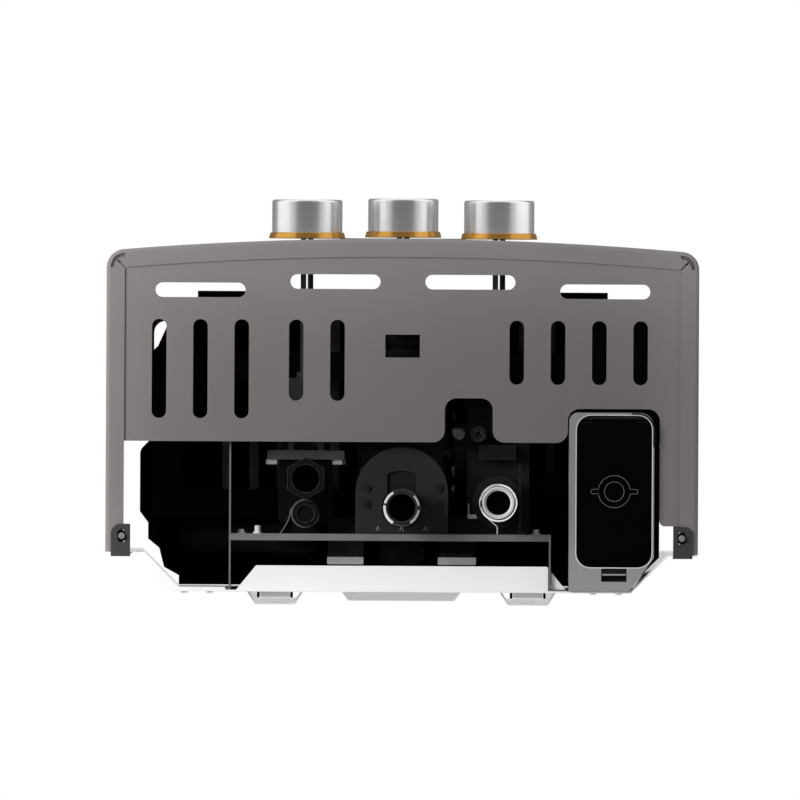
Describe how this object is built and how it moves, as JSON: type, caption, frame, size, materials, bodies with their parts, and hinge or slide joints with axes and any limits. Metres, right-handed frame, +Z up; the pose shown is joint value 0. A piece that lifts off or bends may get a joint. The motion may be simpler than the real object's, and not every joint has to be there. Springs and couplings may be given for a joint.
{
  "type": "tankless gas water heater",
  "caption": "Wall-hung tankless gas water heater: bowed sheet cover, slotted underside, front knobs, battery box, pipe connections below and a flue collar on top.",
  "frame": {"origin": "hanging hole of the bracket, at the wall plane", "axes": "+X to the right seen from the front, +Y into the wall, +Z up"},
  "size_m": [0.326, 0.224, 0.622],
  "materials": {
    "cover_paint": "satin grey paint",
    "white_paint": "white paint",
    "grey_steel": "plain zinc coated sheet",
    "dark_steel": "dark coated sheet",
    "bright_steel": "bright plated",
    "knob_chrome": "satin chrome",
    "gold": "gold plated",
    "valve_metal": "dark cast metal",
    "light_metal": "plain cast metal",
    "copper": "plain copper",
    "grey_plastic": "matte grey",
    "black_plastic": "smooth black",
    "ceramic": "glazed",
    "cell_skin": "plain lacquer"
  },
  "bodies": {
    "heater": {"front_cover": "cover_paint", "bottom_panel": "cover_paint", "top_panel": "cover_paint", "back_plate": "white_paint", "wall_rails": "white_paint", "hang_bracket": "white_paint", "corner_tabs": "dark_steel", "cover_screws": "bright_steel", "display_lens": "black_plastic", "display_housing": "black_plastic", "battery_case": "grey_plastic", "battery_hinge_pin": "bright_steel", "battery_cells": "cell_skin", "battery_contacts": "bright_steel", "igniter_box": "black_plastic", "bridge_bracket": "grey_steel", "inlet_plate": "dark_steel", "plate_screws": "dark_steel", "gas_nipple": "bright_steel", "gas_valve_body": "valve_metal", "solenoid_valve": "valve_metal", "gas_riser": "valve_metal", "burner_manifold": "valve_metal", "burner_jets": "gold", "burner_tray": "dark_steel", "burner_blades": "grey_steel", "ignition_electrodes": "ceramic", "water_valve_body": "valve_metal", "diaphragm_cover": "valve_metal", "microswitch": "black_plastic", "cold_nipple": "bright_steel", "bleed_screw": "bright_steel", "valve_bracket": "grey_steel", "hot_outlet_body": "valve_metal", "hot_outlet_nut": "dark_steel", "port_cap": "valve_metal", "outlet_flange": "light_metal", "mixing_valve": "light_metal", "hot_water_pipe": "dark_steel", "cold_water_pipe": "dark_steel", "chamber_brackets": "grey_steel", "combustion_chamber": "copper", "heat_exchanger": "copper", "flue_hood": "dark_steel", "flue_collar": "grey_steel"},
    "temperature_control": {"temperature_knob": "knob_chrome", "temperature_ring": "gold", "temperature_stem": "grey_steel"},
    "gas_control": {"gas_knob": "knob_chrome", "gas_ring": "gold", "gas_stem": "grey_steel"},
    "flow_control": {"flow_knob": "knob_chrome", "flow_ring": "gold", "flow_stem": "grey_steel"},
    "door": {"battery_door": "black_plastic"},
    "lock": {"door_lock": "black_plastic"},
    "latch": {"door_latch": "grey_plastic"},
    "linkage": {"linkage_rod": "grey_steel"},
    "plunger": {"microswitch_plunger": "black_plastic"},
    "drain": {"drain_plug": "light_metal"}
  },
  "joints": [
    {"name": "temperature_turn", "type": "hinge", "parent": "heater", "child": "temperature_control", "pos_m": [-0.053, -0.2, -0.375], "axis": [0, 1, 0], "range_deg": [0, 270]},
    {"name": "gas_turn", "type": "hinge", "parent": "heater", "child": "gas_control", "pos_m": [0, -0.2, -0.375], "axis": [0, 1, 0], "range_deg": [0, 180]},
    {"name": "flow_turn", "type": "hinge", "parent": "heater", "child": "flow_control", "pos_m": [0.053, -0.2, -0.375], "axis": [0, 1, 0], "range_deg": [0, 270]},
    {"name": "door_swing", "type": "hinge", "parent": "heater", "child": "door", "pos_m": [0.1168, -0.103, -0.4605], "axis": [-1, 0, 0], "range_deg": [0, 95]},
    {"name": "lock_turn", "type": "hinge", "parent": "door", "child": "lock", "pos_m": [0.1168, -0.063, -0.462], "axis": [0, 0, 1], "range_deg": [0, 90]},
    {"name": "latch_slide", "type": "slide", "parent": "heater", "child": "latch", "axis": [0, 1, 0], "range_m": [0, 0.0025], "stiffness_N_per_m": 150},
    {"name": "linkage_slide", "type": "slide", "parent": "heater", "child": "linkage", "axis": [-1, 0, 0], "range_m": [0, 0.003], "stiffness_N_per_m": 200},
    {"name": "plunger_slide", "type": "slide", "parent": "heater", "child": "plunger", "axis": [-1, 0, 0], "range_m": [0, 0.003]},
    {"name": "drain_turn", "type": "hinge", "parent": "heater", "child": "drain", "pos_m": [0.0419, -0.0943, -0.43], "axis": [0, 0, 1], "range_deg": [0, 180]}
  ],
  "couplings": [
    {"joint": "plunger_slide", "follows": "linkage_slide", "ratio": 1}
  ]
}
